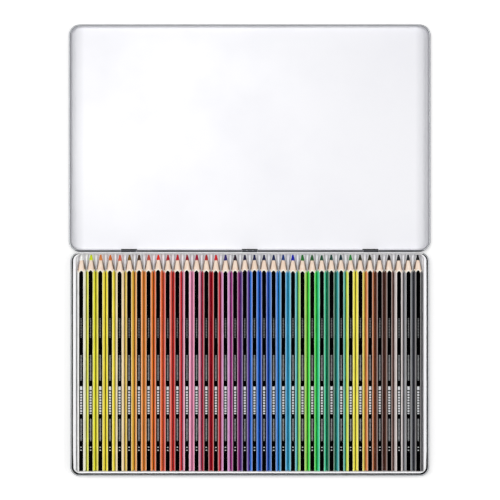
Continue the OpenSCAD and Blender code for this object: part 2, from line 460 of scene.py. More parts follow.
def make_facet_light_shade():
    """Up a colour facet: painted shade over its foot, in the valley between pencils, and a painted
    highlight along its upper edge.
    """
    inputs = [("Place", "Vector", None)]
    tree, start = new_effect("facet_light_shade", inputs, [("Valley Shade", "Float"), ("Highlight", "Float")])
    height = add_node(tree, "SeparateXYZ", {"Vector": start.outputs["Place"]}).outputs["Z"]
    # painted shade at the facet's foot, in the valley between pencils
    valley_shade = spread(tree, height, 0.5 * MM, 1.2 * MM, 1.0, 0.0)
    # painted highlight along the facet's upper edge
    edge = spread(tree, height, 2.3 * MM, 3.1 * MM)
    end_effect(tree, {"Valley Shade": valley_shade, "Highlight": edge})
    return tree


lacquer_skin = make_lacquer_skin()
handling_marks = make_handling_marks()
dash_row = make_dash_row()
facet_light_shade = make_facet_light_shade()


def lacquer_surface(tree, place, ripple, peel, smudges):
    """The skin and the handling marks of a lacquer, with their sizes in waves per metre."""
    skin = use_effect(tree, lacquer_skin, {"Place": place, "Ripple": ripple, "Peel": peel})
    marks = use_effect(tree, handling_marks, {"Place": place, "Size": smudges})
    return skin, marks


# ---- Finishes of the tin and the tray ----


def notch_painted_shade(tree, place):
    """Painted shade beside each notch: a narrow dark strip on the lid."""
    spot = add_node(tree, "SeparateXYZ", {"Vector": place}).outputs
    edge_y = (lid_low.y + 2 * knuckle_r + notch_shade_w) * MM
    beside = math_node(tree, "LESS_THAN", spot["Y"], edge_y)
    total = 0.0
    for x in hinge_x:
        along = math_node(tree, "ABSOLUTE", math_node(tree, "SUBTRACT", spot["X"], x * MM))
        within = math_node(tree, "LESS_THAN", along, notch_w / 2 * MM)
        total = math_node(tree, "MULTIPLY_ADD", beside, within, total)
    return total


def wall_painted_shade(tree, place):
    """How much painted shade darkens the lid's white towards its two drawn sides."""
    deepest_wall_shade = 0.55
    spot = add_node(tree, "SeparateXYZ", {"Vector": place}).outputs
    aside = math_node(tree, "ABSOLUTE", spot["X"])
    return spread(tree, aside, (lid_w / 2 - wall_shade_w) * MM, lid_w / 2 * MM, 0.0, deepest_wall_shade)


def white_inside_lacquer():
    """Satin white lacquer on the inside of the tinplate, with painted shade along its sides and beside
    each notch.
    """
    finish, tree = new_finish("white_inside_lacquer")
    place = object_place(tree)
    skin, marks = lacquer_surface(tree, place, 18.0, 700.0, 9.0)
    tone = mix_colours(tree, marks["Smudge"], "ececf0", "e8e8ed")
    dusty = touched(tree, marks["Speck"], 0.35, tone, "b9bbc0")
    # painted shade: the white darkens towards the lid's sides
    wall_shaded = mix_colours(tree, wall_painted_shade(tree, place), dusty, "9a9ba0")
    # painted shade: a dark strip beside each notch
    colour = mix_colours(tree, notch_painted_shade(tree, place), wall_shaded, "1b1c20")
    return end_finish(finish, {
        "Base Color": colour,
        "Roughness": spread(tree, marks["Smudge"], 0.0, 1.0, 0.3, 0.38),
        "Normal": bump(tree, skin["Height"], 0.02),
    })


def charcoal_lacquer(name, deep, light, gloss):
    """Charcoal lacquer, rubbed to bare metal along the bends."""
    finish, tree = new_finish(name)
    place = object_place(tree)
    skin, marks = lacquer_surface(tree, place, 30.0, 900.0, 16.0)
    edge = spread(tree, add_node(tree, "NewGeometry").outputs["Pointiness"], 0.52, 0.6)
    chips = spread(tree, noise(tree, place, 260.0, 5.0, 0.7), 0.6, 0.66)
    bare = math_node(tree, "MULTIPLY", edge, chips)
    tone = mix_colours(tree, marks["Smudge"], deep, light)
    scuffed = touched(tree, skin["Scratch"], 0.25, tone, "6d7278")
    colour = mix_colours(tree, bare, scuffed, "b9bbbd")
    return end_finish(finish, {
        "Base Color": colour,
        "Metallic": math_node(tree, "MULTIPLY", bare, 0.9),
        "Roughness": spread(tree, marks["Smudge"], 0.0, 1.0, 0.3, 0.44),
        "Normal": bump(tree, skin["Height"], 0.02),
        "Specular IOR Level": gloss,
    })


def bare_tinplate(name, deep, light):
    """Tinplate where the sheet is rolled: faint spangle and rolling lines."""
    finish, tree = new_finish(name)
    place = object_place(tree)
    spangle = add_node(tree, "TexVoronoi", {"Vector": place, "Scale": 260.0}).outputs["Color"]
    grains = add_node(tree, "RGBToBW", {"Color": spangle}).outputs[0]
    cloud = noise(tree, place, 120.0, 4.0, 0.65)
    tone = mix_colours(tree, cloud, deep, light)
    colour = touched(tree, grains, 0.12, tone, "9a9da1")
    waves = noise(tree, place, 45.0, 2.0)
    return end_finish(finish, {
        "Base Color": colour,
        "Metallic": 0.6,
        "Roughness": spread(tree, cloud, 0.3, 0.7, 0.36, 0.52),
        "Normal": bump(tree, waves, 0.05),
    })


def painted_shade_barrel_metal():
    """The lid's barrel along the hinge and the inward turn of its curl: metal darkened as painted shade,
    with scoring round the pins.
    """
    finish, tree = new_finish("painted_shade_barrel_metal")
    place = object_place(tree)
    scoring = noise(tree, scaled_place(tree, place, (1500.0, 90.0, 90.0)), 1.0, 4.0, 0.7)
    soot = noise(tree, place, 35.0, 4.0, 0.6)
    tone = mix_colours(tree, spread(tree, soot, 0.35, 0.65), "4c4e53", "74767b")
    colour = touched(tree, spread(tree, scoring, 0.55, 0.75), 0.6, tone, "2a2b2f")
    return end_finish(finish, {
        "Base Color": colour,
        "Metallic": 0.5,
        "Roughness": spread(tree, scoring, 0.3, 0.7, 0.38, 0.55),
        "Normal": bump(tree, scoring, 0.02),
    })


def formed_plastic():
    """Thin white formed plastic: soft gloss, faint forming flow and fine dust."""
    finish, tree = new_finish("formed_plastic")
    place = object_place(tree)
    marks = use_effect(tree, handling_marks, {"Place": place, "Size": 30.0})
    flow = noise(tree, scaled_place(tree, place, (220.0, 30.0, 90.0)), 1.0, 3.0)
    grain = noise(tree, place, 1500.0, 1.0)
    tone = mix_colours(tree, flow, "ededf0", "f7f7f9")
    colour = touched(tree, marks["Speck"], 0.5, tone, "a7a49c")
    height = math_node(tree, "MULTIPLY_ADD", grain, 0.2, flow)
    return end_finish(finish, {
        "Base Color": colour,
        "Roughness": spread(tree, marks["Smudge"], 0.0, 1.0, 0.32, 0.45),
        "Normal": bump(tree, height, 0.015),
    })


def drawn_steel_wire():
    """Hinge pin: drawn steel wire with lengthwise lines and a trace of oil."""
    finish, tree = new_finish("drawn_steel_wire")
    place = object_place(tree)
    lines = noise(tree, scaled_place(tree, place, (60.0, 2600.0, 2600.0)), 1.0, 3.0)
    stain = noise(tree, place, 500.0, 4.0)
    colour = mix_colours(tree, spread(tree, stain, 0.45, 0.7), "aeb0b3", "7e7a74")
    return end_finish(finish, {
        "Base Color": colour,
        "Metallic": 0.95,
        "Roughness": spread(tree, lines, 0.3, 0.7, 0.24, 0.42),
        "Normal": bump(tree, lines, 0.01),
    })


# ---- Finishes of the pencils ----


def stripe_place(tree):
    """The place on a pencil, shifted by a random share so that no two look alike."""
    place = object_place(tree)
    chance = add_node(tree, "ObjectInfo").outputs["Random"]
    shift = add_node(tree, "CombineXYZ", {"X": chance, "Y": math_node(tree, "MULTIPLY", chance, 7.0)})
    return add_node(tree, "VectorMath", {0: place, 1: shift.outputs[0]}, operation="ADD").outputs[0]


def valley_shade_colour(colour):
    """A darker, deeper shade of a lacquer's colour, painted as shade in the valley between pencils."""
    return (*(0.05 * c * c for c in colour[:3]), 1.0)


def pencil_lacquer(name, colour):
    """Dipped colour lacquer: fine scratches, a painted highlight along the upper edge and painted shade
    at the foot, between the pencils.
    """
    finish, tree = new_finish(name)
    place = stripe_place(tree)
    skin, marks = lacquer_surface(tree, place, 150.0, 1300.0, 70.0)
    tone = mix_colours(tree, marks["Smudge"], colour, shade_of(colour, 0.88))
    rubbed = touched(tree, skin["Scratch"], 0.12, tone, "f2ead8")
    facet_light = use_effect(tree, facet_light_shade, {"Place": object_place(tree)})
    # painted highlight: the upper edge of the facet paler
    pale = touched(tree, facet_light["Highlight"], 0.28, rubbed, "f8f4f0")
    # painted shade: the facet's foot darker, in the valley between pencils
    valley_shaded = mix_colours(tree, facet_light["Valley Shade"], pale, valley_shade_colour(colour))
    return end_finish(finish, {
        "Base Color": valley_shaded,
        "Roughness": spread(tree, marks["Smudge"], 0.0, 1.0, 0.3, 0.42),
        "Normal": bump(tree, skin["Height"], 0.02),
        "Specular IOR Level": 0.2,
        "Coat Weight": spread(tree, facet_light["Valley Shade"], 0.0, 1.0, 0.4, 0.0),
        "Coat Roughness": 0.12,
    })


def black_lacquer(name, stamped):
    """Black stripe lacquer. The stamped one carries rows of plain silver foil dashes."""
    finish, tree = new_finish(name)
    place = stripe_place(tree)
    skin, marks = lacquer_surface(tree, place, 150.0, 1300.0, 70.0)
    black = mix_colours(tree, marks["Smudge"], "020203", "040405")
    colour = touched(tree, skin["Scratch"], 0.08, black, "7a7a7a")
    if stamped:
        worn = spread(tree, noise(tree, place, 1400.0, 3.0, 0.7), 0.3, 0.5, 0.55, 1.0)
        colour = touched(tree, foil_marks(tree), worn, colour, "dfe1e4")
    return end_finish(finish, {
        "Base Color": colour,
        "Roughness": spread(tree, marks["Smudge"], 0.0, 1.0, 0.26, 0.38),
        "Normal": bump(tree, skin["Height"], 0.02),
        "Specular IOR Level": 0.0,
    })


# Stamped rows on the top stripe: start and end from the tip, pitch, fill, half width, strength
FOIL_ROWS = [
    (52.0, 68.0, 1.25, 0.55, 0.5, 0.24),
    (82.0, 103.0, 1.05, 0.6, 0.6, 0.4),
    (107.5, 110.5, 6.0, 1.0, 0.9, 0.9),
    (111.5, 130.0, 2.2, 0.68, 0.8, 0.85),
    (134.0, 152.0, 1.05, 0.6, 0.6, 0.45),
    (156.8, 161.0, 2.4, 0.28, 0.6, 0.8),
]


def foil_marks(tree):
    """How much foil lies at a place on the top stripe."""
    place = add_node(tree, "SeparateXYZ", {"Vector": object_place(tree)})
    along = math_node(tree, "MULTIPLY_ADD", place.outputs["Y"], -1 / MM, pencil_len / 2)
    across = math_node(tree, "MULTIPLY", place.outputs["X"], 1 / MM)
    total = None
    for start, end, pitch, fill, half_width, strength in FOIL_ROWS:
        row = use_effect(tree, dash_row, {
            "Along": along, "Across": across, "Start": start, "End": end,
            "Pitch": pitch, "Fill": fill, "Half Width": half_width,
        })["Mask"]
        total = math_node(tree, "MULTIPLY_ADD", row, strength, total or 0.0)
    return total


def sharpened_wood():
    """Pale wood with painted shade down its sides: fine growth lines, torn fibres and knife rings."""
    side_shade_from = 0.6    # share of a place's distance from the middle line that is sideways
    side_shade_to = 0.9
    finish, tree = new_finish("sharpened_wood")
    place = stripe_place(tree)
    growth = noise(tree, scaled_place(tree, place, (900.0, 34.0, 900.0)), 1.0, 4.0, 0.6)
    fibres = noise(tree, scaled_place(tree, place, (3800.0, 160.0, 3800.0)), 1.0, 2.0)
    rings = noise(tree, scaled_place(tree, place, (60.0, 2400.0, 60.0)), 1.0, 2.0)
    pale = mix_colours(tree, spread(tree, growth, 0.35, 0.7), "f5e3d3", "e8ccb5")
    torn = touched(tree, spread(tree, fibres, 0.55, 0.75), 0.3, pale, "d9b498")
    spot = add_node(tree, "SeparateXYZ", {"Vector": object_place(tree)}).outputs
    flat = add_node(tree, "CombineXYZ", {"X": spot["X"], "Z": spot["Z"]}).outputs[0]
    away = add_node(tree, "VectorMath", {0: flat}, operation="LENGTH").outputs["Value"]
    aside = math_node(tree, "DIVIDE", math_node(tree, "ABSOLUTE", spot["X"]), away)
    # painted shade: the cone darker down its sides, where the cones meet
    side_shade = spread(tree, aside, side_shade_from, side_shade_to)
    colour = touched(tree, side_shade, 0.95, torn, "553519")
    height = math_node(tree, "MULTIPLY_ADD", rings, 0.5, fibres)
    return end_finish(finish, {
        "Base Color": colour,
        "Roughness": spread(tree, growth, 0.3, 0.7, 0.6, 0.78),
        "Normal": bump(tree, height, 0.03),
        "Specular IOR Level": 0.3,
    })


def pencil_lead(name, colour):
    """Waxy coloured lead: cut rings, small crumbs and a slight sheen."""
    finish, tree = new_finish(name)
    place = stripe_place(tree)
    crumbs = noise(tree, place, 1600.0, 4.0, 0.65)
    rings = noise(tree, scaled_place(tree, place, (80.0, 2600.0, 80.0)), 1.0, 2.0)
    crumbly = spread(tree, crumbs, 0.35, 0.65)
    tone = mix_colours(tree, crumbly, shade_of(colour, 0.8), shade_of(colour, 1.1))
    height = math_node(tree, "ADD", crumbs, rings)
    return end_finish(finish, {
        "Base Color": tone,
        "Roughness": spread(tree, crumbs, 0.3, 0.7, 0.42, 0.6),
        "Normal": bump(tree, height, 0.02),
        "Specular IOR Level": 0.15,
    })


def cut_primer():
    """The pale ground coat that shows as a thin line where the sharpener cuts the lacquer."""
    finish, tree = new_finish("cut_primer")
    place = stripe_place(tree)
    flecks = noise(tree, place, 1200.0, 3.0)
    colour = mix_colours(tree, flecks, "fbf7f0", "e6dccb")
    return end_finish(finish, {
        "Base Color": colour,
        "Roughness": spread(tree, flecks, 0.3, 0.7, 0.5, 0.65),
        "Normal": bump(tree, flecks, 0.01),
    })


# Each pencil, from left to right: its colour's name, its lacquer and its lead
PENCIL_COLOURS = [
    ("white", "fdfdfb", "f2f2f0"),
    ("lemon_green", "eef03c", "cadd1a"),
    ("pale_yellow", "fbee52", "d57f3f"),
    ("golden_yellow", "fff03e", "ca6823"),
    ("cream", "fff0cc", "cd5f45"),
    ("ochre", "f0cc48", "765619"),
    ("light_orange", "f6ae5a", "513b2f"),
    ("orange", "f2993c", "be493b"),
    ("deep_orange", "ee7434", "df2214"),
    ("salmon_red", "f06c5c", "aa0c21"),
    ("red", "d0141f", "bc081f"),
    ("light_pink", "ffbcdc", "8d0e25"),
    ("pink", "f29cc0", "a01035"),
    ("carmine", "b00f34", "a8181e"),
    ("bright_red", "cc1423", "cb0f1f"),
    ("lilac", "f0aeea", "27176c"),
    ("magenta", "a8308c", "231025"),
    ("violet", "6e46a4", "171034"),
    ("mid_blue", "2c8af4", "111546"),
    ("dark_blue", "1c58c4", "121640"),
    ("sky_blue", "4494e8", "142253"),
    ("cyan_blue", "3aaede", "16357a"),
    ("light_blue", "58c8e0", "0e1ea8"),
    ("light_green", "b4e860", "1a7226"),
    ("bright_green", "3ce650", "105522"),
    ("mint_green", "40e4aa", "11482d"),
    ("dark_green", "1c7c5c", "0f4033"),
    ("teal", "4ec4c6", "0b2c36"),
    ("yellow_two", "fffa54", "238032"),
    ("yellow_three", "fff264", "2f2f1c"),
    ("rust_brown", "e08850", "292713"),
    ("dark_brown", "5e3026", "1e1313"),
    ("umber", "704a3e", "1c161a"),
    ("warm_grey", "eee4e2", "1d1d22"),
    ("grey", "8c9096", "202227"),
    ("black", "44444c", "131317"),
]

# ---- Pieces of the tin ----

# The last zone holds the hinge rims: painted light on the base, painted shade on the lid.
OUTSIDE, INSIDE, RIM, LIGHT_SHADE_RIM = range(4)
charcoal = charcoal_lacquer("charcoal_outside_lacquer", "2b2e33", "34383e", 0.55)
# the base's inside, made near-black as painted shade for the deep gap between its rim and the tray
gap_shade_charcoal = charcoal_lacquer("charcoal_inside_gap_shade", "131417", "191b1e", 0.1)
tinplate = bare_tinplate("bare_tinplate", "a6a8ab", "bcbec1")
# painted light: a lit copy of the tinplate, for the base's rim along the hinge
painted_light_tinplate = bare_tinplate("painted_light_tinplate", "e2e2e4", "f0f0f2")
base_finishes = [charcoal, gap_shade_charcoal, tinplate, painted_light_tinplate]
lid_finishes = [charcoal, white_inside_lacquer(), tinplate, painted_shade_barrel_metal()]


def zoned(points, zone):
    """A stretch of a pan's section, all with the same finish."""
    return [(x, y, zone) for x, y in points]


def pan_section(wall, curl_z, rim):
    """From the floor's underside, up the wall, round the rim and down to the floor's upper side."""
    outer_bend = arc(wall - bend_r, bend_r, bend_r, -90, 0, 7)
    inner_bend = arc(wall - bend_r, bend_r, bend_r - sheet, 0, -90, 6)
    bare_from = (wall, curl_z - lacquer_margin)
    return zoned(outer_bend, OUTSIDE) + zoned([bare_from], RIM) + rim + zoned(inner_bend, INSIDE)


def base_section():
    """The base's section: its rim curls inwards."""
    curl_end = 284
    gap_angle = 4     # between the ends of the curl's two faces
    bright = 15       # points of the outer curl up to where it turns down; the rest takes the near-black inside, as painted shade
    outer_curl = arc(-rim_r, rim_z, rim_r, 0, curl_end, 26)
    inner_curl = arc(-rim_r, rim_z, rim_r - sheet, curl_end + gap_angle, 0, 20)
    rim = zoned(outer_curl[:bright], RIM) + zoned(outer_curl[bright:] + inner_curl, INSIDE)
    return pan_section(0, rim_z, rim)


def lid_section():
    """The lid's section, as it lies open on its back: its rim curls outwards."""
    curl_end = -126
    shaded = -6       # from this point on, the curl turns down to the lid's floor and is darkened as painted shade
    under_curl = arc(knuckle_r, hinge_z, bore_r, 180, curl_end, 22)
    over_curl = arc(knuckle_r, hinge_z, knuckle_r, curl_end, 180, 30)
    rim = zoned(under_curl + over_curl[:shaded], RIM)
    rim += zoned(over_curl[shaded:-1], LIGHT_SHADE_RIM) + zoned(over_curl[-1:], INSIDE)
    return pan_section(sheet, hinge_z, rim)


def paint_hinge_rim_light_shade(points, faces, zones, half_w, low_y, high_y):
    """Gives the stretch of a rolled rim that runs along the hinge a finish of its own: painted light on
    the base, painted shade on the lid.
    """
    for number, face in enumerate(faces):
        spots = [points[i] for i in face]
        if zones[number] == RIM and all(abs(x) < half_w and low_y < y < high_y for x, y, _ in spots):
            zones[number] = LIGHT_SHADE_RIM


def curled_tongue(centre_x):
    """The base's tongue: a strip that leaves the back wall under the pin and curls round it."""
    curl_end = 214
    steps = 22
    soft = 0.04    # rounding of the two cut sides
    strip_z = hinge_z - knuckle_r
    wall_y = base_l / 2 - sheet / 2
    outer = [(wall_y, strip_z)] + arc(hinge_y, hinge_z, knuckle_r, -90, curl_end, steps)
    inner = [(wall_y, strip_z + sheet)] + arc(hinge_y, hinge_z, bore_r, -90, curl_end, steps)
    profile = outer + inner[::-1]
    count = len(profile)
    middle = [((a[0] + b[0]) / 2, (a[1] + b[1]) / 2) for a, b in zip(outer, inner)]
    middle += middle[::-1]
    points = []
    faces = []
    zones = []
    half = tongue_w / 2
    for across, pulled in ((-half, soft), (-half + soft, 0), (half - soft, 0), (half, soft)):
        for (y, z), (middle_y, middle_z) in zip(profile, middle):
            to_middle = Vector((middle_y - y, middle_z - z))
            inset = to_middle.normalized() * pulled
            points.append((centre_x + across, y + inset.x, z + inset.y))
    for row in range(3):
        faces += ring_faces(row * count, (row + 1) * count, count)
        for i in range(count):
            along_outer = i < len(outer) - 1
            along_inner = len(outer) <= i < count - 1
            zone = OUTSIDE if along_outer else INSIDE if along_inner else RIM
            zones.append(zone if row == 1 else RIM)
    for first in (0, 3 * count):
        for i in range(len(outer) - 1):
            faces.append((first + i, first + i + 1, first + count - 2 - i, first + count - 1 - i))
            zones.append(RIM)
    return points, faces, zones


def make_base():
    """The base: its pan with three windows in the back wall, and the tongues."""
    corner_stretch = 5    # of the back rim, left like the rest
    past_curl = 0.1
    stations = outline_stations(base_w, base_l, base_corner_r)
    points, faces, zones = pan(stations, base_section(), 0.0)
    rim_y = base_l / 2 - 2 * rim_r - past_curl
    paint_hinge_rim_light_shade(points, faces, zones, base_w / 2 - corner_stretch, rim_y, base_l)
    piece = make_piece("base_shell", points, faces, base_finishes, zones)
    window_low = hinge_z - bore_r - sheet / 2
    window_high = rim_top - 2 * rim_r - sheet
    for x in hinge_x:
        low = (x - window_w / 2, base_l / 2 - 2 * sheet, window_low)
        high = (x + window_w / 2, base_l / 2 + sheet, window_high)
        cut_box(piece, low, high, RIM)
    tongues = ([], [], [])
    for x in hinge_x:
        add_mesh(tongues, curled_tongue(x))
    curls = make_piece("base_hinge_tongues", *tongues[:2], base_finishes, tongues[2])
    smooth(piece, SHARP_SHEET)
    for made in (piece, curls):
        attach(made, "base")
        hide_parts("base_tin")


def make_lid():
    """The lid: its pan, with three notches in the barrel along the hinge."""
    corner_stretch = 3    # of the hinge rim, left like the rest
    past_lid = 1          # how far the notches' cutting boxes reach past it
    under_barrel = 0.3
    stations = outline_stations(lid_w, lid_l, lid_corner_r)
    points, faces, zones = pan(stations, lid_section(), lid_y)
    barrel_y = lid_low.y + 2 * knuckle_r
    hinge_side = lid_low.y - past_lid
    paint_hinge_rim_light_shade(points, faces, zones, lid_w / 2 - corner_stretch, hinge_side, barrel_y)
    piece = make_piece("lid_shell", points, faces, lid_finishes, zones)
    for x in hinge_x:
        low = (x - notch_w / 2, hinge_side, hinge_z - knuckle_r - under_barrel)
        high = (x + notch_w / 2, barrel_y + past_lid, lid_high.z + past_lid)
        cut_box(piece, low, high, RIM)
    smooth(piece, SHARP_SHEET)
    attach(piece, "lid")
    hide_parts("lid_tin")


def make_pins():
    """Straight wire pins with nipped, slightly rounded ends."""
    wire = drawn_steel_wire()
    sides = 20
    ends = [(0.0, 0.45), (0.05, 0.8), (0.18, 1.0), (0.6, 1.0)]    # from the end, share of the radius
    for side, (low, high) in pin_boxes.items():
        radius = (high.z - low.z) / 2
        rows = [(low.x + away, share) for away, share in ends]
        rows += [(high.x - away, share) for away, share in reversed(ends)]
        points = []
        for x, share in rows:
            points += [(x, y, z) for y, z in circle(hinge_y, hinge_z, radius * share, sides)]
        piece = make_piece(f"pin_wire_{side}", points, closed_bar(len(rows), sides), [wire])
        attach(piece, "lid")
        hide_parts(f"hinge_pin_{side}")


# ---- Tray ----


def bed_height(x):
    """Height of the grooved bed above its lowest level, with its edges softened."""
    soft = 0.16
    samples = 5
    total = 0.0
    for sample in range(samples):
        spot = x + soft * (2 * sample / (samples - 1) - 1)
        nearest = min(max(round(spot / pencil_pitch + MIDDLE_PENCIL), 0), PENCIL_COUNT - 1)
        from_groove = abs(spot - (nearest - MIDDLE_PENCIL) * pencil_pitch) - groove_half
        total += min(max(from_groove / slope_w, 0.0), 1.0) * ridge_h
    return total / samples


def bed_columns():
    """Places across the bed: more of them where the grooves bend."""
    half = pocket_w / 2 - tray_fillet
    # From a groove's middle: its flat, the foot of its slope and the top of its slope
    bends = [0.0, 1.2, 1.94, 2.08, 2.22, 2.36, 3.2, 3.34, 3.48, 3.62]
    # From the pocket's sides, for its rounded corners
    insets = [0.0, 0.06, 0.2, 0.4, 0.65, 0.9]
    places = set()
    for i in range(PENCIL_COUNT):
        for bend in bends:
            for side in (-1, 1):
                places.add(round((i - MIDDLE_PENCIL) * pencil_pitch + side * bend, 4))
    for inset in insets:
        places.add(round(half - inset, 4))
        places.add(round(inset - half, 4))
    return sorted(x for x in places if abs(x) <= half + 1e-6)


def make_tray():
    """Formed sheet: grooved bed, filleted walls and a flat edge all round."""
    half_w = pocket_w / 2 - tray_fillet
    half_l = pocket_l / 2 - tray_fillet
    columns = bed_columns()
    row_count = 14

    def corner_radius(y):
        """Radius of the bed's corners at this end of it."""
        return (point_end_r if y > 0 else flat_end_r) - tray_fillet

    def bed_end(x, radius):
        """How far the bed reaches from its middle at this place across."""
        past = max(abs(x) - (half_w - radius), 0.0)
        return half_l - radius + math.sqrt(max(radius ** 2 - past ** 2, 0.0))

    bed = []
    for row in range(row_count):
        for x in columns:
            start = -bed_end(x, corner_radius(-1))
            end = bed_end(x, corner_radius(1))
            bed.append(Vector((x, start + (end - start) * row / (row_count - 1), bed_z + bed_height(x))))
    across = len(columns)
    loop = list(range(across))
    loop += [row * across + across - 1 for row in range(1, row_count)]
    loop += [(row_count - 1) * across + i for i in range(across - 2, -1, -1)]
    loop += [row * across for row in range(row_count - 2, 0, -1)]

    def outward(spot):
        """Direction away from the bed at a place on its edge."""
        radius = corner_radius(spot.y)
        past_x = max(abs(spot.x) - (half_w - radius), 0.0)
        past_y = max(abs(spot.y) - (half_l - radius), 0.0)
        corner = Vector((past_x, past_y))
        out = corner.normalized() if corner.length > 1e-6 else Vector((0.0, 1.0))
        return Vector((math.copysign(out.x, spot.x), math.copysign(out.y, spot.y)))

    def tray_edge(spot, out):
        """The place on the tray's outer edge that belongs to this place on the bed's edge."""
        radius = corner_radius(spot.y)
        share_x = min(max(spot.x / (half_w - radius), -1.0), 1.0)
        share_y = min(max(spot.y / (half_l - radius), -1.0), 1.0)
        edge_w = tray_w / 2 - tray_corner_r
        edge_l = (tray_high.y - tray_low.y) / 2 - tray_corner_r
        middle = Vector((share_x * edge_w, share_y * edge_l + tray_y - pocket_y))
        return middle + out * tray_corner_r

    points = [(spot.x, spot.y + pocket_y, spot.z) for spot in bed]
    under = len(points)
    points += [(spot.x, spot.y + pocket_y, spot.z - tray_sheet) for spot in bed]
    faces = []
    for first in (0, under):
        for row in range(row_count - 1):
            for i in range(across - 1):
                start = first + row * across + i
                faces.append((start, start + 1, start + across + 1, start + across))

    # Each ring: how far outside the bed, share of the way on to the tray's edge, and its height
    # above the bed, or else its height above the floor
    wall = tray_fillet
    back = tray_fillet + tray_sheet
    under_edge = edge_z - tray_sheet
    rings = [
        (0.21, 0, 0.09, None), (wall, 0, tray_fillet, None), (wall, 0, None, edge_z - 0.4),
        (wall, 0.06, None, edge_z - 0.13), (wall, 0.22, None, edge_z), (wall, 0.93, None, edge_z),
        (wall, 1, None, edge_z - 0.09), (wall, 1, None, under_edge),
        (back, 0, None, under_edge), (back, 0, tray_fillet, None), (0.5, 0, -0.19, None),
    ]
    previous = loop
    for away, share, rise, height in rings:
        ring = []
        for i in loop:
            spot = bed[i]
            out = outward(spot)
            place = spot.xy + out * away
            place += (tray_edge(spot, out) - place) * share
            ring.append(len(points))
            points.append((place.x, place.y + pocket_y, spot.z + rise if height is None else height))
        faces += joined(previous, ring)
        previous = ring
    faces += joined(previous, [under + i for i in loop])

    piece = make_piece("formed_tray", points, faces, [formed_plastic()], None, SHARP_ROUND)
    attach(piece, "tray")
    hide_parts("pencil_tray")


# ---- Pencils ----

STAMPED, BLACK, COLOUR, WOOD, PRIMER = range(5)


def casing_columns():
    """Round the hexagon: each point and the zone from it to the next. Facet 0 is the top one."""
    columns = []
    flat_steps = 4
    corner_steps = 4
    for facet in range(6):
        turn = 90 + 60 * facet
        out = heading(turn)
        along = Vector((-out.y, out.x))
        own = COLOUR if facet % 2 else STAMPED if facet == 0 else BLACK
        following = STAMPED if facet == 5 else BLACK if facet % 2 else COLOUR
        for step in range(flat_steps):
            place = out * pencil_flats / 2 + along * facet_w * (step / flat_steps - 0.5)
            columns.append((place, own))
        middle = heading(turn + 30) * (corner_reach - edge_r)
        own_steps = 3 if facet % 2 else 1
        for step in range(corner_steps):
            place = middle + heading(turn + 60 * step / corner_steps) * edge_r
            columns.append((place, own if step < own_steps else following))
    return columns


def casing_mesh(slope, lean, lean_turn):
    """Casing from the sharpened cone to the flat end, bored for the lead."""
    columns = casing_columns()
    count = len(columns)
    tip = pencil_len / 2
    hole_r = lead_r + 0.02
    cut_coats = 0.22     # how wide the cut through the coats is
    soft_rim = 0.3       # first stretch of the coats behind the cut
    past_cut = 17.0      # from the tip, behind the deepest scallop
    end_band = 0.6       # last stretch before the flat end
    end_soft = 0.12      # softened edge of the flat end

    def on_cone(place, radius):
        """Where the cut lies along the pencil at this radius."""
        angle = math.atan2(place.y, place.x)
        off_centre = lean * math.cos(angle - lean_turn) * radius / corner_reach
        return tip - (radius - tip_r - off_centre) / math.tan(slope)

    def row_point(place, radius, y):
        """A point in this column's direction."""
        spot = place.normalized() * radius
        return (spot.x * coat_swell, y, spot.y)

    def cut_row(share):
        """A row on the cut, this share of the way from the lead to the coats."""
        row = []
        for place, _ in columns:
            radius = hole_r + (place.length - cut_coats - hole_r) * share
            row.append(row_point(place, radius, on_cone(place, radius)))
        return row

    def rim_row(behind):
        """A row along the scalloped end of the coats, or this far behind it."""
        return [row_point(p, p.length, on_cone(p, p.length) - behind) for p, _ in columns]

    def side_row(inset, y):
        """A row straight round the pencil."""
        return [row_point(p, p.length - inset, y) for p, _ in columns]

    # Each row, and the zone from it to the next; None stands for the columns' own zones
    rows = [(cut_row(share), WOOD) for share in (0.0, 0.3, 0.65)]
    rows += [(cut_row(1.0), PRIMER), (rim_row(0.0), None), (rim_row(soft_rim), None)]
    for y in (tip - past_cut, 0.0, -tip + end_band, -tip + end_soft):
        rows.append((side_row(0.0, y), None))
    rows.append((side_row(end_soft, -tip), WOOD))
    rows.append(([row_point(p, hole_r, -tip) for p, _ in columns], WOOD))
    points = []
    faces = []
    zones = []
    for row, _ in rows:
        points += row
    for index, (_, zone) in enumerate(rows):
        following = (index + 1) % len(rows)
        faces += ring_faces(index * count, following * count, count)
        zones += [own if zone is None else zone for _, own in columns]
    return points, faces, zones


def lead_mesh(slope):
    """Lead with a blunt tip, turned from its point to its flat end."""
    sides = 24
    tip = pencil_len / 2
    cone = (lead_r - tip_r) / math.tan(slope)
    profile = [(0.08, 0.0), (0.15, 0.03), (tip_r, 0.12)]
    for share in (0.3, 0.65, 1.0):
        profile.append((tip_r + (lead_r - tip_r) * share, max(cone * share, 0.2)))
    profile += [(lead_r, cone + 0.5), (lead_r, pencil_len - 0.08), (lead_r - 0.06, pencil_len - 0.02)]
    points = []
    for radius, back in profile:
        points += [(x, tip - back, z) for x, z in circle(0, 0, radius, sides)]
    return points, closed_bar(len(profile), sides)


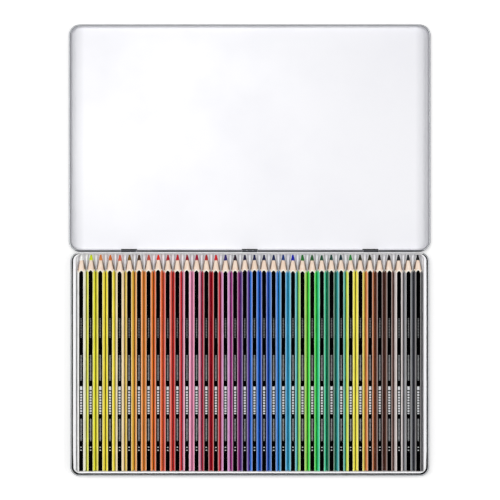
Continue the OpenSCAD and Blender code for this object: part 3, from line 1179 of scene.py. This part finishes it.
def make_pencils():
    """Each pencil: its casing and its lead, a little unlike its neighbours."""
    chance = random.Random(SEED)
    stamped = black_lacquer("black_lacquer_stamped", True)
    plain = black_lacquer("black_lacquer_plain", False)
    wood = sharpened_wood()
    primer = cut_primer()
    for node, (low, high), (colour, lacquer, lead) in zip(pencil_nodes, pencil_boxes, PENCIL_COLOURS):
        slope = point_slope + math.radians(chance.uniform(-slope_change, slope_change))
        lean = chance.uniform(*lean_range)
        lean_turn = chance.uniform(0, 2 * math.pi)
        roll = math.radians(chance.uniform(-roll_change, roll_change))
        slide = chance.uniform(-slide_change, slide_change)
        place = ((low + high) / 2 + Vector((pencils_aside, slide, 0))) * MM
        coats = pencil_lacquer(f"lacquer_{colour}", hex_colour(lacquer))
        points, faces, zones = casing_mesh(slope, lean, lean_turn)
        finishes = [stamped, plain, coats, wood, primer]
        casing = make_piece(f"{node}_casing", points, faces, finishes, zones, SHARP_CASING)
        core_finish = pencil_lead(f"lead_{colour}", hex_colour(lead))
        core = make_piece(f"{node}_lead", *lead_mesh(slope), [core_finish], None, SHARP_ROUND)
        for piece in (casing, core):
            piece.location = place
            piece.rotation_euler = (0, roll, 0)
            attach(piece, node)
            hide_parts(node)


make_base()
make_lid()
make_pins()
make_tray()
make_pencils()

# ---- Floor, light and camera ----

WHITE = (1.0, 1.0, 1.0, 1.0)
FLOOR_HALF = 3000.0     # half of the floor's width
FLOOR_DROP = 0.02       # the floor lies this far under the tin
FLOOR_LIFT = 0.25       # light of its own, near the tin
FAR_LIFT = 0.75         # and far away
WORLD_LEVEL = 0.36
LIT_PLACE = Vector((0.0, 0.09, 0.0))    # where the softboxes point, in metres

# Each softbox: its name, its place and width in metres, and its share of the floor's light
SOFTBOXES = [
    ("key_softbox", (-0.2, 0.36, 1.3), 0.45, 0.25),
    ("overhead_softbox", (0.1, 0.0, 1.7), 0.9, 0.07),
    ("left_softbox", (-0.8, 0.05, 1.1), 0.45, 0.18),
    ("right_softbox", (0.8, 0.05, 1.15), 0.5, 0.22),
]

# The camera hangs straight over the open tin. At this level it sees a square of this width
VIEW_WIDTH = 408.4
VIEW_LEVEL = 6.0
CAMERA_HEIGHT = 1200.0
CAMERA_X = 0.22
CAMERA_Y = 92.9


def pale_floor():
    """Matt white floor. The camera sees it lifted towards white, with the tin's shadow kept."""
    finish, tree = new_finish("pale_floor")
    place = object_place(tree)
    tone = mix_colours(tree, noise(tree, place, 3.0, 2.0), "f4f4f4", "f6f6f6")
    matt = add_node(tree, "BsdfDiffuse", {"Color": tone})
    far = add_node(tree, "VectorMath", {0: place}, operation="LENGTH").outputs["Value"]
    strength = spread(tree, far, 0.4, 1.2, FLOOR_LIFT, FAR_LIFT)
    lift = add_node(tree, "Emission", {"Color": WHITE, "Strength": strength})
    both = add_node(tree, "AddShader", {0: matt.outputs[0], 1: lift.outputs[0]})
    path = add_node(tree, "LightPath")
    seen = math_node(tree, "MAXIMUM", path.outputs["Is Camera Ray"], path.outputs["Is Glossy Ray"])
    shown = add_node(tree, "MixShader", {0: seen, 1: matt.outputs[0], 2: both.outputs[0]})
    add_node(tree, "OutputMaterial", {"Surface": shown.outputs[0]})
    return finish


def make_floor():
    """One large flat sheet."""
    corners = [(x * FLOOR_HALF, y * FLOOR_HALF, 0) for x, y in ((-1, -1), (1, -1), (1, 1), (-1, 1))]
    floor = make_piece("floor", corners, [(0, 1, 2, 3)], [pale_floor()])
    floor.location.z = -FLOOR_DROP * MM


def add_softbox(name, place, size, share):
    """A square lamp that gives the floor under the tin this share of its light."""
    away = Vector(place) - LIT_PLACE
    lamp = bpy.data.lights.new(name, "AREA")
    lamp.shape = "SQUARE"
    lamp.size = size
    lamp.energy = share * (math.pi * away.length) ** 2 * away.length / away.z
    softbox = bpy.data.objects.new(name, lamp)
    bpy.context.scene.collection.objects.link(softbox)
    softbox.location = place
    softbox.rotation_euler = away.to_track_quat("Z", "Y").to_euler()


def studio_world():
    """Even surroundings: a dim light all round, seen as white."""
    world = bpy.data.worlds.new("studio")
    world.use_nodes = True
    tree = world.node_tree
    tree.nodes.clear()
    light = add_node(tree, "Background", {"Color": WHITE, "Strength": WORLD_LEVEL})
    seen = add_node(tree, "Background", {"Color": WHITE, "Strength": 1.0})
    path = add_node(tree, "LightPath")
    shown = add_node(tree, "MixShader", {
        0: path.outputs["Is Camera Ray"], 1: light.outputs[0], 2: seen.outputs[0],
    })
    add_node(tree, "OutputWorld", {"Surface": shown.outputs[0]})
    bpy.context.scene.world = world


def hang_camera():
    """The camera, looking straight down."""
    camera_data = bpy.data.cameras.new("camera")
    camera_data.sensor_width = 36.0
    camera_data.lens = camera_data.sensor_width * CAMERA_HEIGHT / VIEW_WIDTH
    camera_data.clip_end = 20.0
    camera = bpy.data.objects.new("camera", camera_data)
    camera.location = (CAMERA_X * MM, CAMERA_Y * MM, (CAMERA_HEIGHT + VIEW_LEVEL) * MM)
    bpy.context.scene.collection.objects.link(camera)
    bpy.context.scene.camera = camera


make_floor()
studio_world()
for softbox in SOFTBOXES:
    add_softbox(*softbox)
hang_camera()
bpy.context.scene.view_settings.view_transform = "Standard"
